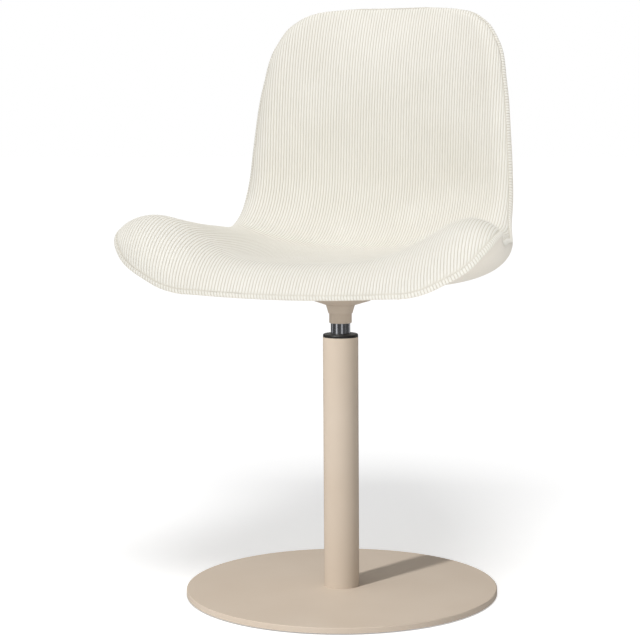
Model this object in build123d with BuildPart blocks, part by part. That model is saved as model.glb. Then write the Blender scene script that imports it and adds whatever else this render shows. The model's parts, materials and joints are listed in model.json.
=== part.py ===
"""Swivel dining chair: a round floor disc, a steel column and a swivelling upholstered shell.

Millimetres.  +Z is up, the origin is on the floor on the column axis, and the sitter faces -Y.
"""
from build123d import *
from math import atan, atan2, cos, hypot, radians, sin
import os

# ---- driving dimensions ------------------------------------------------------------------
# Floor disc, the rubber sheet under it and the screws that hold the column
DISC_RADIUS = 225.0
DISC_THICKNESS = 8.0
DISC_EDGE_FILLET = 1.2
SHEET_RADIUS = 216.0
SHEET_THICKNESS = 2.0
FOOT_SCREW_CIRCLE = 13.0
FOOT_SCREW_RADIUS = 4.0
FOOT_SCREW_LENGTH = 26.0
FOOT_SCREW_HEAD_RADIUS = 7.8
FOOT_SCREW_COUNT = 3

# Column
COLUMN_RADIUS = 25.4
COLUMN_WALL = 2.5
COLUMN_TOP = 373.5
FOOT_HEIGHT = 25.0

# Swivel: spindle, bushes and thrust bearing
SPINDLE_RADIUS = 14.0
SPINDLE_TOP = 428.0
JOURNAL_RADIUS = 10.0
JOURNAL_BOTTOM = 188.0
RUNNING_CLEARANCE = 0.05
BUSH_FLANGE_HEIGHT = 4.5
BUSH_FLANGE_RADIUS = 25.2
BUSH_DEPTH = 38.0
SUPPORT_BOTTOM = 200.0
SUPPORT_HEIGHT = 12.0
SUPPORT_BORE = 13.0
LOWER_BUSH_FLANGE = 2.0
BEARING_HEIGHT = 10.0
BEARING_OUTER_RADIUS = 17.5
BEARING_PITCH_RADIUS = 13.75
RACE_THICKNESS = 3.1
BALL_RADIUS = 2.75
BALL_COUNT = 12
CAGE_THICKNESS = 2.4
CAGE_MARGIN = 3.2
STOP_WASHER_RADIUS = 16.0
STOP_WASHER_THICKNESS = 2.0
CIRCLIP_RADIUS = 14.0
CIRCLIP_GROOVE_RADIUS = 9.0
CIRCLIP_THICKNESS = 1.5
CIRCLIP_OPENING = 6.0

# Hub between the spindle and the shell
SOCKET_BOTTOM = 393.5
SOCKET_RADIUS = 16.2
NECK_BOTTOM = 407.5
NECK_LOWER_RADIUS = 17.2
NECK_UPPER_RADIUS = 20.5
NECK_TOP = 418.5
DISH_TOP = 447.2
DISH_TILT = 4.0
DISH_RADIUS = 75.0
DISH_RIM = 5.0
FLARE_RADIUS = 42.0
FLARE_DROP = 21.5
DISH_RIM_FILLET = 1.5
FLARE_FILLET = 20.0
DISH_WALL = 5.0
DISH_POCKET_RADIUS = 66.0
DISH_BOSS_RADIUS = 24.0
HUB_BOLT_RADIUS = 5.0
HUB_BOLT_HEAD_RADIUS = 8.0
HUB_BOLT_HEAD_HEIGHT = 6.4
HUB_BOLT_SEAT = 433.5
HUB_BOLT_END = 404.0
HUB_WASHER_RADIUS = 10.5
HUB_WASHER_THICKNESS = 2.0

# Screws, spacers and tee nuts between the hub and the shell, as heights above the dish's top
SHELL_SCREW_OFFSET = 40.0
SHELL_SCREW_RADIUS = 3.0
SHELL_SCREW_HEAD_RADIUS = 5.3
SHELL_SCREW_HEAD_HEIGHT = 3.4
SHELL_SCREW_WEB = 6.0
SHELL_WASHER_RADIUS = 6.5
SHELL_WASHER_THICKNESS = 1.2
SCREW_BOSS_RADIUS = 11.0
SPACER_RADIUS = 11.0
SPACER_BORE = 4.4
SPACER_REACH = 24.5
SPACER_CLEARANCE = 0.8
TEE_NUT_SEAT = 28.2
TEE_NUT_BARREL_RADIUS = 4.2
TEE_NUT_BARREL_LENGTH = 7.5
TEE_NUT_FLANGE_RADIUS = 9.5
TEE_NUT_FLANGE_THICKNESS = 1.1

# Upholstered shell
COVER_THICKNESS = 1.5
SEAM_TO_SEAM = 8.5
CORE_THICKNESS = 8.0
CORE_SHARE = 0.45
FRONT_FOAM_SHARE = 0.62
CORE_INSET = 1.2
CORE_EDGE_MARGIN = 0.9
LAYER_GAP = 0.3
GUSSET_THICKNESS = 1.2
GUSSET_GAP = 0.45
UNDER_FLAT = 0.72
UNDER_SAG = 0.10
STATION_STEPS = 2

# Side profile of the sitting face: the front seam, then (distance, heading in degrees).
# The heading turns steadily between two rows, so each row closes one arc.
PROFILE_START = (-242.0, 455.0)
PROFILE = (
    (0, 54), (45, 46), (90, 18), (130, -4), (330, -4), (380, 3),
    (430, 28), (480, 58), (530, 84), (600, 87), (680, 76), (795, 54),
)

# Cross-sections of the shell, from the front seam to the top seam: distance along the
# profile, half width, rise of the wing, drop from wing to seam, width of the roll, thickness
SECTIONS = (
    (0, 139, 7, 2, 30, 12),         # front seam
    (25, 204, 13, 8, 38, 20),
    (55, 244, 22, 10, 45, 27),      # front corners
    (95, 262, 30, 12, 50, 37),
    (150, 257, 33, 18, 55, 50),     # widest part of the seat
    (222, 247, 31, 20, 52, 58),
    (294, 237, 30, 14, 46, 60),     # over the column
    (365, 227, 30, 11, 36, 60),
    (430, 213, 28, 9, 28, 59),      # waist
    (492, 207, 27, 7, 25, 54),
    (572, 201, 24, 6, 25, 45),
    (667, 189, 19, 7, 25, 37),
    (730, 172, 15, 7, 25, 29),      # shoulders
    (762, 150, 12, 5, 25, 21),
    (783, 122, 9, 4, 24, 15),
    (795, 92, 6, 3, 22, 12),        # top seam
)

# ---- places worked out from the dimensions -----------------------------------------------
disc_bottom = SHEET_THICKNESS
disc_top = disc_bottom + DISC_THICKNESS
tube_bore = COLUMN_RADIUS - COLUMN_WALL
support_top = SUPPORT_BOTTOM + SUPPORT_HEIGHT
ball_height = support_top + BEARING_HEIGHT / 2
bearing_top = support_top + BEARING_HEIGHT
spindle_bore = SPINDLE_RADIUS + RUNNING_CLEARANCE
journal_bore = JOURNAL_RADIUS + RUNNING_CLEARANCE
ball_groove = BALL_RADIUS + RUNNING_CLEARANCE
stop_washer_top = SUPPORT_BOTTOM - LOWER_BUSH_FLANGE - 2 * RUNNING_CLEARANCE
circlip_top = stop_washer_top - STOP_WASHER_THICKNESS
neck_seat = NECK_TOP - DISH_TOP
tilt = radians(DISH_TILT)
dish_plane = Plane(origin=(0, 0, DISH_TOP), x_dir=(1, 0, 0), z_dir=(0, sin(tilt), cos(tilt)))
dish_section = Plane(origin=(0, 0, DISH_TOP), x_dir=(1, 0, 0), z_dir=(0, -cos(tilt), sin(tilt)))
dish_axis = Axis(dish_plane.origin, dish_plane.z_dir)

os.makedirs("parts", exist_ok=True)


def save(part, name):
    """Label one finished piece and write it under its own name."""
    part.label = name
    export_step(part, f"parts/{name}.step")


def foot_screw_places():
    """Screws between the disc and the column."""
    return PolarLocations(FOOT_SCREW_CIRCLE, FOOT_SCREW_COUNT)


def ball_places():
    """Balls of the thrust bearing."""
    return PolarLocations(BEARING_PITCH_RADIUS, BALL_COUNT)


def shell_screw_places():
    """Screws between the hub and the shell."""
    return GridLocations(2 * SHELL_SCREW_OFFSET, 2 * SHELL_SCREW_OFFSET, 2, 2)


# ---- shell geometry ----------------------------------------------------------------------
def section_plane(distance):
    """Plane square to the side profile at a distance from the front seam.

    Local X runs across the chair and local Y points out of the sitting face.
    """
    y, z = PROFILE_START
    for (start, turn_0), (end, turn_1) in zip(PROFILE, PROFILE[1:]):
        length = min(distance, end) - start
        before = radians(turn_0)
        curvature = radians(turn_1 - turn_0) / (end - start)
        heading = before + curvature * length
        if curvature:
            y += (sin(heading) - sin(before)) / curvature
            z += (cos(before) - cos(heading)) / curvature
        else:
            y += length * cos(heading)
            z += length * sin(heading)
        if distance <= end:
            break
    return Plane(origin=(0, y, z), x_dir=(1, 0, 0), z_dir=(0, -cos(heading), -sin(heading)))


def face_curve(half_width, rise, drop, roll, depth):
    """Right half of the sitting face sunk by depth: a dished middle, then the roll to the seam."""
    crest_x = half_width - roll
    crest_angle = 2 * atan(rise / crest_x)
    chord_angle = atan2(-drop, roll)
    seam_angle = 2 * chord_angle - crest_angle
    radius = hypot(roll, drop) / (2 * sin(crest_angle - chord_angle))
    centre_x = crest_x + radius * sin(crest_angle)
    centre_y = rise - radius * cos(crest_angle)
    points = [(0, -depth)]
    for angle in (crest_angle, chord_angle, seam_angle):
        reach = radius - depth
        points.append((centre_x - reach * sin(angle), centre_y + reach * cos(angle)))
    return points


def under_curve(half_width, seam_height, thickness, depth):
    """Right half of the outer side raised by depth: a shallow bottom, then the side to the seam."""
    knuckle_x = half_width * UNDER_FLAT
    sag = (thickness + seam_height) * UNDER_SAG
    knuckle_angle = 2 * atan(sag / knuckle_x)
    side_width = half_width - knuckle_x
    side_height = thickness + seam_height - sag
    chord_angle = atan2(side_height, side_width)
    seam_angle = 2 * chord_angle - knuckle_angle
    radius = hypot(side_width, side_height) / (2 * sin(chord_angle - knuckle_angle))
    centre_x = knuckle_x - radius * sin(knuckle_angle)
    centre_y = sag - thickness + radius * cos(knuckle_angle)
    points = [(0, depth - thickness)]
    for angle in (knuckle_angle, chord_angle, seam_angle):
        reach = radius - depth
        points.append((centre_x + reach * sin(angle), centre_y - reach * cos(angle)))
    return points


def core_curves(half_width, rise, drop, roll, thickness):
    """Upper and lower side of the core, each one arc from edge to edge."""
    padding = COVER_THICKNESS + LAYER_GAP
    seam_height = rise - drop - SEAM_TO_SEAM
    core = min(CORE_THICKNESS, CORE_SHARE * thickness)
    top = (thickness - core) * FRONT_FOAM_SHARE
    edge_x = half_width - CORE_INSET
    edge_top = face_curve(half_width, rise, drop, roll, padding)[-1][1] - CORE_EDGE_MARGIN
    edge_bottom = under_curve(half_width, seam_height, thickness, padding)[-1][1] + CORE_EDGE_MARGIN
    return [(0, -top), (edge_x, edge_top)], [(0, -top - core), (edge_x, edge_bottom)]


def face_cover_curves(half_width, rise, drop, roll, thickness):
    """Fabric over the sitting face."""
    outside = face_curve(half_width, rise, drop, roll, 0)
    inside = face_curve(half_width, rise, drop, roll, COVER_THICKNESS)
    return outside, inside


def face_foam_curves(half_width, rise, drop, roll, thickness):
    """Foam between the face cover and the core."""
    outside = face_curve(half_width, rise, drop, roll, COVER_THICKNESS + LAYER_GAP)
    core_top, core_bottom = core_curves(half_width, rise, drop, roll, thickness)
    return outside, [(x, height + LAYER_GAP) for x, height in core_top]


def rear_foam_curves(half_width, rise, drop, roll, thickness):
    """Foam between the core and the rear cover."""
    seam_height = rise - drop - SEAM_TO_SEAM
    core_top, core_bottom = core_curves(half_width, rise, drop, roll, thickness)
    outside = under_curve(half_width, seam_height, thickness, COVER_THICKNESS + LAYER_GAP)
    return [(x, height - LAYER_GAP) for x, height in core_bottom], outside


def rear_cover_curves(half_width, rise, drop, roll, thickness):
    """Fabric over the outer side."""
    seam_height = rise - drop - SEAM_TO_SEAM
    inside = under_curve(half_width, seam_height, thickness, COVER_THICKNESS)
    outside = under_curve(half_width, seam_height, thickness, 0)
    return inside, outside


def end_curves(slant, half_width, rise, drop, roll, thickness):
    """Whole outline of an end of the shell, as wide as the gusset stands."""
    wide = half_width + (GUSSET_GAP + GUSSET_THICKNESS) * slant
    seam_height = rise - drop - SEAM_TO_SEAM
    return face_curve(wide, rise, drop, roll, 0), under_curve(wide, seam_height, thickness, 0)


def draw_curve(half):
    """Both halves of a curve: the middle arc and, where there is one, the arc at each side."""
    middle, inner, *side = half
    ThreePointArc((-inner[0], inner[1]), middle, inner)
    if side:
        bend, end = side
        ThreePointArc(inner, bend, end)
        ThreePointArc((-inner[0], inner[1]), (-bend[0], bend[1]), (-end[0], end[1]))


def draw_section(plane, upper, lower):
    """Closed sketch between two curves, on the plane of its section."""
    with BuildSketch(plane) as section:
        with BuildLine():
            draw_curve(upper)
            draw_curve(lower)
            Line(upper[-1], lower[-1])
            Line((-upper[-1][0], upper[-1][1]), (-lower[-1][0], lower[-1][1]))
        make_face()
    return section.sketch


def steady_curve(rows, steps):
    """More rows between the given ones, on a smooth curve through them all."""
    before = [rows[0], *rows[:-1]]
    after = [*rows[1:], rows[-1]]
    slopes = []
    for start, end in zip(before, after):
        slopes.append([(b - a) / (end[0] - start[0]) for a, b in zip(start, end)])
    finer = []
    for start, end, slope_0, slope_1 in zip(rows, rows[1:], slopes, slopes[1:]):
        length = end[0] - start[0]
        for step in range(steps):
            t = step / steps
            row = []
            for a, b, rate_a, rate_b in zip(start, end, slope_0, slope_1):
                value = a + (b - a) * t * t * (3 - 2 * t)
                value += length * t * (1 - t) * (rate_a * (1 - t) - rate_b * t)
                row.append(value)
            finer.append(row)
    finer.append(list(rows[-1]))
    return finer


stations = steady_curve(SECTIONS, STATION_STEPS)


def outline_slants():
    """How much longer than its distance step the outline runs at each station, as a factor."""
    rows = [(distance, half_width) for distance, half_width, *rest in stations]
    before = [rows[0], *rows[:-1]]
    after = [*rows[1:], rows[-1]]
    return [hypot(1, (w_1 - w_0) / (s_1 - s_0)) for (s_0, w_0), (s_1, w_1) in zip(before, after)]


def layer_sections(curves):
    """The sketches of one layer of the shell, from the front seam to the top seam."""
    return [draw_section(section_plane(distance), *curves(*sizes)) for distance, *sizes in stations]


def gusset_sections():
    """The fabric strip between the two seams of the right edge, square to the edge's run."""
    sections = []
    for (distance, half_width, rise, drop, roll, thickness), slant in zip(stations, outline_slants()):
        with BuildSketch(section_plane(distance)) as section:
            with Locations((half_width + GUSSET_GAP * slant, rise - drop)):
                Rectangle(GUSSET_THICKNESS * slant, SEAM_TO_SEAM, align=(Align.MIN, Align.MAX))
        sections.append(section.sketch)
    return sections


# ---- floor disc --------------------------------------------------------------------------
with BuildPart() as base_plate:
    with BuildSketch(Plane.XY.offset(disc_bottom)):
        Circle(DISC_RADIUS)
    extrude(amount=DISC_THICKNESS)
    fillet(base_plate.edges().group_by(Axis.Z)[-1], DISC_EDGE_FILLET)
    with Locations(Plane.XY.offset(disc_bottom).rotated((180, 0, 0))):
        with foot_screw_places():
            CounterSinkHole(FOOT_SCREW_RADIUS, FOOT_SCREW_HEAD_RADIUS, counter_sink_angle=90)
save(base_plate.part, "base_plate")

with BuildPart() as floor_sheet:
    with BuildSketch():
        Circle(SHEET_RADIUS)
    extrude(amount=SHEET_THICKNESS)
save(floor_sheet.part, "floor_sheet")

# ---- column ------------------------------------------------------------------------------
with BuildPart() as column_tube:
    with BuildSketch(Plane.XY.offset(disc_top)):
        Circle(COLUMN_RADIUS)
        Circle(tube_bore, mode=Mode.SUBTRACT)
    extrude(amount=COLUMN_TOP - disc_top)
save(column_tube.part, "column_tube")

with BuildPart() as column_foot:
    with BuildSketch(Plane.XY.offset(disc_top)):
        Circle(tube_bore)
        with foot_screw_places():
            Circle(FOOT_SCREW_RADIUS, mode=Mode.SUBTRACT)
    extrude(amount=FOOT_HEIGHT)
save(column_foot.part, "column_foot")

with BuildPart() as column_screws:
    with BuildSketch(Plane.XY.offset(disc_bottom)):
        with foot_screw_places():
            Circle(FOOT_SCREW_HEAD_RADIUS)
    extrude(amount=FOOT_SCREW_HEAD_RADIUS - FOOT_SCREW_RADIUS, taper=45)
    with BuildSketch(Plane.XY.offset(disc_bottom)):
        with foot_screw_places():
            Circle(FOOT_SCREW_RADIUS)
    extrude(amount=FOOT_SCREW_LENGTH)
save(column_screws.part, "column_screws")

# ---- bushes and bearing in the column ----------------------------------------------------
with BuildPart() as upper_bush:
    with BuildSketch(Plane.XY.offset(COLUMN_TOP)):
        Circle(BUSH_FLANGE_RADIUS)
    extrude(amount=BUSH_FLANGE_HEIGHT)
    fillet(upper_bush.edges().group_by(Axis.Z)[-1], 2.0)
    with BuildSketch(Plane.XY.offset(COLUMN_TOP)):
        Circle(tube_bore)
    extrude(amount=-BUSH_DEPTH)
    with BuildSketch(Plane.XY.offset(COLUMN_TOP - BUSH_DEPTH)):
        Circle(spindle_bore)
    extrude(amount=BUSH_DEPTH + BUSH_FLANGE_HEIGHT, mode=Mode.SUBTRACT)
    chamfer(upper_bush.edges().group_by(Axis.Z)[-1].sort_by(SortBy.RADIUS)[0], 0.6)
save(upper_bush.part, "upper_bush")

with BuildPart() as bearing_support:
    with BuildSketch(Plane.XY.offset(SUPPORT_BOTTOM)):
        Circle(tube_bore)
        Circle(SUPPORT_BORE, mode=Mode.SUBTRACT)
    extrude(amount=SUPPORT_HEIGHT)
save(bearing_support.part, "bearing_support")

with BuildPart() as lower_bush:
    with BuildSketch(Plane.XY.offset(SUPPORT_BOTTOM)):
        Circle(SUPPORT_BORE)
        Circle(journal_bore, mode=Mode.SUBTRACT)
    extrude(amount=SUPPORT_HEIGHT)
    with BuildSketch(Plane.XY.offset(SUPPORT_BOTTOM)):
        Circle(BEARING_OUTER_RADIUS)
        Circle(journal_bore, mode=Mode.SUBTRACT)
    extrude(amount=-LOWER_BUSH_FLANGE)
save(lower_bush.part, "lower_bush")


def race_section(bore, outer, bottom):
    """Half section of a bearing race with its ball groove."""
    with BuildSketch(Plane.XZ) as section:
        with Locations((bore, bottom)):
            Rectangle(outer - bore, RACE_THICKNESS, align=(Align.MIN, Align.MIN))
        with Locations((BEARING_PITCH_RADIUS, ball_height)):
            Circle(ball_groove, mode=Mode.SUBTRACT)
    return section.sketch


with BuildPart() as thrust_lower_race:
    revolve(race_section(JOURNAL_RADIUS + 0.5, BEARING_OUTER_RADIUS, support_top), axis=Axis.Z)
save(thrust_lower_race.part, "thrust_lower_race")

with BuildPart() as thrust_upper_race:
    upper_race_bottom = bearing_top - RACE_THICKNESS
    revolve(race_section(JOURNAL_RADIUS, BEARING_OUTER_RADIUS - 0.3, upper_race_bottom), axis=Axis.Z)
save(thrust_upper_race.part, "thrust_upper_race")

with BuildPart() as ball_cage:
    with BuildSketch(Plane.XY.offset(ball_height - CAGE_THICKNESS / 2)):
        Circle(BEARING_PITCH_RADIUS + CAGE_MARGIN)
        Circle(BEARING_PITCH_RADIUS - CAGE_MARGIN, mode=Mode.SUBTRACT)
        with ball_places():
            Circle(ball_groove, mode=Mode.SUBTRACT)
    extrude(amount=CAGE_THICKNESS)
save(ball_cage.part, "ball_cage")

with BuildPart() as thrust_balls:
    with Locations((0, 0, ball_height)):
        with ball_places():
            Sphere(BALL_RADIUS)
save(thrust_balls.part, "thrust_balls")

# ---- spindle -----------------------------------------------------------------------------
with BuildPart() as spindle:
    with BuildSketch(Plane.XY.offset(JOURNAL_BOTTOM)):
        Circle(JOURNAL_RADIUS)
    extrude(amount=bearing_top - JOURNAL_BOTTOM)
    chamfer(spindle.edges().group_by(Axis.Z)[0], 1.0)
    with BuildSketch(Plane.XY.offset(bearing_top)):
        Circle(SPINDLE_RADIUS)
    extrude(amount=SPINDLE_TOP - bearing_top)
    with BuildSketch(Plane.XY.offset(circlip_top)):
        Circle(JOURNAL_RADIUS)
        Circle(CIRCLIP_GROOVE_RADIUS, mode=Mode.SUBTRACT)
    extrude(amount=-CIRCLIP_THICKNESS, mode=Mode.SUBTRACT)
    with BuildSketch(Plane.XY.offset(SPINDLE_TOP)):
        Circle(HUB_BOLT_RADIUS)
    extrude(amount=HUB_BOLT_END - SPINDLE_TOP - 2, mode=Mode.SUBTRACT)
save(spindle.part, "spindle")

with BuildPart() as stop_washer:
    with BuildSketch(Plane.XY.offset(circlip_top)):
        Circle(STOP_WASHER_RADIUS)
        Circle(JOURNAL_RADIUS, mode=Mode.SUBTRACT)
    extrude(amount=STOP_WASHER_THICKNESS)
save(stop_washer.part, "stop_washer")

with BuildPart() as spindle_circlip:
    with BuildSketch(Plane.XY.offset(circlip_top)):
        Circle(CIRCLIP_RADIUS)
        Circle(CIRCLIP_GROOVE_RADIUS, mode=Mode.SUBTRACT)
        with Locations((0, CIRCLIP_RADIUS)):
            Rectangle(CIRCLIP_OPENING, CIRCLIP_RADIUS, mode=Mode.SUBTRACT)
    extrude(amount=-CIRCLIP_THICKNESS)
save(spindle_circlip.part, "spindle_circlip")

# ---- hub ---------------------------------------------------------------------------------
with BuildPart() as hub_socket:
    with BuildSketch(Plane.XY.offset(SOCKET_BOTTOM)):
        Circle(SOCKET_RADIUS)
        Circle(SPINDLE_RADIUS, mode=Mode.SUBTRACT)
    extrude(amount=SPINDLE_TOP - SOCKET_BOTTOM)
    chamfer(hub_socket.edges().group_by(Axis.Z)[0].sort_by(SortBy.RADIUS)[-1], 0.8)
save(hub_socket.part, "hub_socket")

with BuildPart() as dish_pocket:
    with BuildSketch(dish_section):
        with BuildLine():
            Polyline(
                (DISH_BOSS_RADIUS, 0),
                (DISH_POCKET_RADIUS, 0),
                (DISH_POCKET_RADIUS, -DISH_WALL),
                (FLARE_RADIUS, DISH_WALL - FLARE_DROP),
                (DISH_BOSS_RADIUS, DISH_WALL - FLARE_DROP - 2),
                close=True,
            )
        make_face()
    revolve(axis=dish_axis)
    with BuildSketch(dish_plane):
        with shell_screw_places():
            Circle(SCREW_BOSS_RADIUS)
    extrude(amount=-FLARE_DROP, mode=Mode.SUBTRACT)

with BuildPart() as hub_dish:
    with BuildSketch(dish_section) as dish_outline:
        with BuildLine():
            Polyline(
                (0, 0),
                (DISH_RADIUS, 0),
                (DISH_RADIUS, -DISH_RIM),
                (FLARE_RADIUS, -FLARE_DROP),
                (NECK_UPPER_RADIUS - 2, neck_seat),
                (0, neck_seat),
                close=True,
            )
        make_face()
        rim, flare = reversed(dish_outline.vertices().group_by(Axis.X)[-2:])
        fillet(rim, DISH_RIM_FILLET)
        fillet(flare, FLARE_FILLET)
    revolve(axis=dish_axis)
    add(dish_pocket.part, mode=Mode.SUBTRACT)
    with BuildSketch(Plane.XZ):
        with BuildLine():
            Polyline(
                (0, NECK_BOTTOM),
                (NECK_LOWER_RADIUS, NECK_BOTTOM),
                (NECK_UPPER_RADIUS, NECK_TOP),
                (NECK_UPPER_RADIUS, NECK_TOP + 6),
                (0, NECK_TOP + 6),
                close=True,
            )
        make_face()
    revolve(axis=Axis.Z)
    with BuildSketch(Plane.XY.offset(NECK_BOTTOM)):
        Circle(SOCKET_RADIUS)
    extrude(amount=SPINDLE_TOP - NECK_BOTTOM, mode=Mode.SUBTRACT)
    with BuildSketch(Plane.XY.offset(SPINDLE_TOP)):
        Circle(HUB_BOLT_RADIUS)
    extrude(amount=DISH_TOP - SPINDLE_TOP, mode=Mode.SUBTRACT)
    with BuildSketch(Plane.XY.offset(HUB_BOLT_SEAT)):
        Circle(HUB_WASHER_RADIUS)
    extrude(amount=DISH_TOP - SPINDLE_TOP, mode=Mode.SUBTRACT)
    with BuildSketch(dish_plane):
        with shell_screw_places():
            Circle(SHELL_SCREW_RADIUS)
    extrude(amount=-SHELL_SCREW_WEB, mode=Mode.SUBTRACT)
    with BuildSketch(dish_plane.offset(-SHELL_SCREW_WEB)):
        with shell_screw_places():
            Circle(SHELL_WASHER_RADIUS + 0.5)
    extrude(amount=-FLARE_DROP, mode=Mode.SUBTRACT)
save(hub_dish.part, "hub_dish")

with BuildPart() as hub_bolt_washer:
    with BuildSketch(Plane.XY.offset(HUB_BOLT_SEAT)):
        Circle(HUB_WASHER_RADIUS - 0.3)
        Circle(HUB_BOLT_RADIUS, mode=Mode.SUBTRACT)
    extrude(amount=HUB_WASHER_THICKNESS)
save(hub_bolt_washer.part, "hub_bolt_washer")

with BuildPart() as hub_bolt:
    with BuildSketch(Plane.XY.offset(HUB_BOLT_END)):
        Circle(HUB_BOLT_RADIUS)
    extrude(amount=HUB_BOLT_SEAT + HUB_WASHER_THICKNESS - HUB_BOLT_END)
    with BuildSketch(Plane.XY.offset(HUB_BOLT_SEAT + HUB_WASHER_THICKNESS)):
        RegularPolygon(HUB_BOLT_HEAD_RADIUS, 6)
    extrude(amount=HUB_BOLT_HEAD_HEIGHT)
save(hub_bolt.part, "hub_bolt")

# ---- fixings of the shell ----------------------------------------------------------------
with BuildPart() as mount_spacers:
    with BuildSketch(dish_plane):
        with shell_screw_places():
            Circle(SPACER_RADIUS)
            Circle(SPACER_BORE, mode=Mode.SUBTRACT)
    extrude(amount=SPACER_REACH)
save(mount_spacers.part, "mount_spacers")

with BuildPart() as mount_washers:
    with BuildSketch(dish_plane.offset(-SHELL_SCREW_WEB)):
        with shell_screw_places():
            Circle(SHELL_WASHER_RADIUS)
            Circle(SHELL_SCREW_RADIUS, mode=Mode.SUBTRACT)
    extrude(amount=-SHELL_WASHER_THICKNESS)
save(mount_washers.part, "mount_washers")

with BuildPart() as mount_screws:
    with BuildSketch(dish_plane.offset(-SHELL_SCREW_WEB - SHELL_WASHER_THICKNESS)):
        with shell_screw_places():
            Circle(SHELL_SCREW_RADIUS)
    extrude(amount=SHELL_SCREW_WEB + SHELL_WASHER_THICKNESS + TEE_NUT_SEAT)
    with BuildSketch(dish_plane.offset(-SHELL_SCREW_WEB - SHELL_WASHER_THICKNESS)):
        with shell_screw_places():
            RegularPolygon(SHELL_SCREW_HEAD_RADIUS, 6)
    extrude(amount=-SHELL_SCREW_HEAD_HEIGHT)
save(mount_screws.part, "mount_screws")

with BuildPart() as tee_nuts:
    with BuildSketch(dish_plane.offset(TEE_NUT_SEAT)):
        with shell_screw_places():
            Circle(TEE_NUT_FLANGE_RADIUS)
    extrude(amount=TEE_NUT_FLANGE_THICKNESS)
    with BuildSketch(dish_plane.offset(TEE_NUT_SEAT)):
        with shell_screw_places():
            Circle(TEE_NUT_BARREL_RADIUS)
            Circle(SHELL_SCREW_RADIUS, mode=Mode.SUBTRACT)
    extrude(amount=-TEE_NUT_BARREL_LENGTH)
save(tee_nuts.part, "tee_nuts")

# ---- shell: core and foam ----------------------------------------------------------------
with BuildPart() as shell_core:
    loft(layer_sections(core_curves))
    with BuildSketch(dish_plane):
        with shell_screw_places():
            Circle(SPACER_RADIUS)
    extrude(amount=SPACER_REACH, mode=Mode.SUBTRACT)
    with BuildSketch(dish_plane.offset(SPACER_REACH)):
        with shell_screw_places():
            Circle(TEE_NUT_BARREL_RADIUS)
    extrude(amount=TEE_NUT_SEAT - SPACER_REACH, mode=Mode.SUBTRACT)
    with BuildSketch(dish_plane.offset(TEE_NUT_SEAT)):
        with shell_screw_places():
            Circle(TEE_NUT_FLANGE_RADIUS)
    extrude(amount=CORE_THICKNESS, mode=Mode.SUBTRACT)
save(shell_core.part, "shell_core")

with BuildPart() as face_foam:
    loft(layer_sections(face_foam_curves))
save(face_foam.part, "face_foam")

with BuildPart() as rear_foam:
    loft(layer_sections(rear_foam_curves))
    with BuildSketch(dish_plane):
        with shell_screw_places():
            Circle(SPACER_RADIUS + SPACER_CLEARANCE)
    extrude(amount=SPACER_REACH + CORE_THICKNESS, mode=Mode.SUBTRACT)
save(rear_foam.part, "rear_foam")

# ---- shell: covers -----------------------------------------------------------------------
with BuildPart() as face_cover:
    loft(layer_sections(face_cover_curves))
save(face_cover.part, "face_cover")

with BuildPart() as rear_cover:
    loft(layer_sections(rear_cover_curves))
    with BuildSketch(dish_plane):
        with shell_screw_places():
            Circle(SPACER_RADIUS + SPACER_CLEARANCE)
    extrude(amount=SPACER_REACH, mode=Mode.SUBTRACT)
save(rear_cover.part, "rear_cover")

front_plane = section_plane(stations[0][0])
top_plane = section_plane(stations[-1][0])
front_end = end_curves(outline_slants()[0], *stations[0][1:])
top_end = end_curves(outline_slants()[-1], *stations[-1][1:])
with BuildPart() as edge_gusset:
    loft(gusset_sections())
    mirror(about=Plane.YZ)
    extrude(draw_section(front_plane, *front_end), amount=GUSSET_THICKNESS)
    extrude(draw_section(top_plane, *top_end), amount=-GUSSET_THICKNESS)
save(edge_gusset.part, "edge_gusset")
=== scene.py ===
"""Looks of the swivel dining chair.  Metres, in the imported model's frame: +Z up, the sitter faces -Y."""

import json
import math

import bpy
import numpy as np
from mathutils import Matrix, Vector


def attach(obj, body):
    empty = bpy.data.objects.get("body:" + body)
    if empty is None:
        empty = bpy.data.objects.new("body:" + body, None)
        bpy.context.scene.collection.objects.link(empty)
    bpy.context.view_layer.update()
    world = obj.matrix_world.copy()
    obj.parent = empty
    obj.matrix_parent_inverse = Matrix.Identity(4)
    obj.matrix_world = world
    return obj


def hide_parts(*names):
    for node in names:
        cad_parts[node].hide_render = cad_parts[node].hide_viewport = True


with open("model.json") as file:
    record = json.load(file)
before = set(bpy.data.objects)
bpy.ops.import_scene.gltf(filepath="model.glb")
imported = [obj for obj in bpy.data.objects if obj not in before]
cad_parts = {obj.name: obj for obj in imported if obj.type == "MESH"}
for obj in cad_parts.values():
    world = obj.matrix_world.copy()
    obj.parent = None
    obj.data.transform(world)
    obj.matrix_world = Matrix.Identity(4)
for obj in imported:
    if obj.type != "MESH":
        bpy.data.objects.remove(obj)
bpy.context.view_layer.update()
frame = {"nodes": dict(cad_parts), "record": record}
nodes = frame["nodes"]

# ---- shell numbers, in millimetres -------------------------------------------------------
# PROFILE and SECTIONS were fitted to the photo's outline and seams, rounded and then
# adjusted.  MIDDLE was set one by one.
# Side profile of the sitting face: front seam, then (distance, heading in degrees)
PROFILE_START = (-233.4, 458.7)
PROFILE = [
    (0, 62), (45, 45.5), (90, 17), (130, -8), (330, -2.5), (380, 4.7),
    (430, 30), (480, 58.6), (530, 84.2), (600, 86), (680, 78.5), (795, 52),
]
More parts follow.
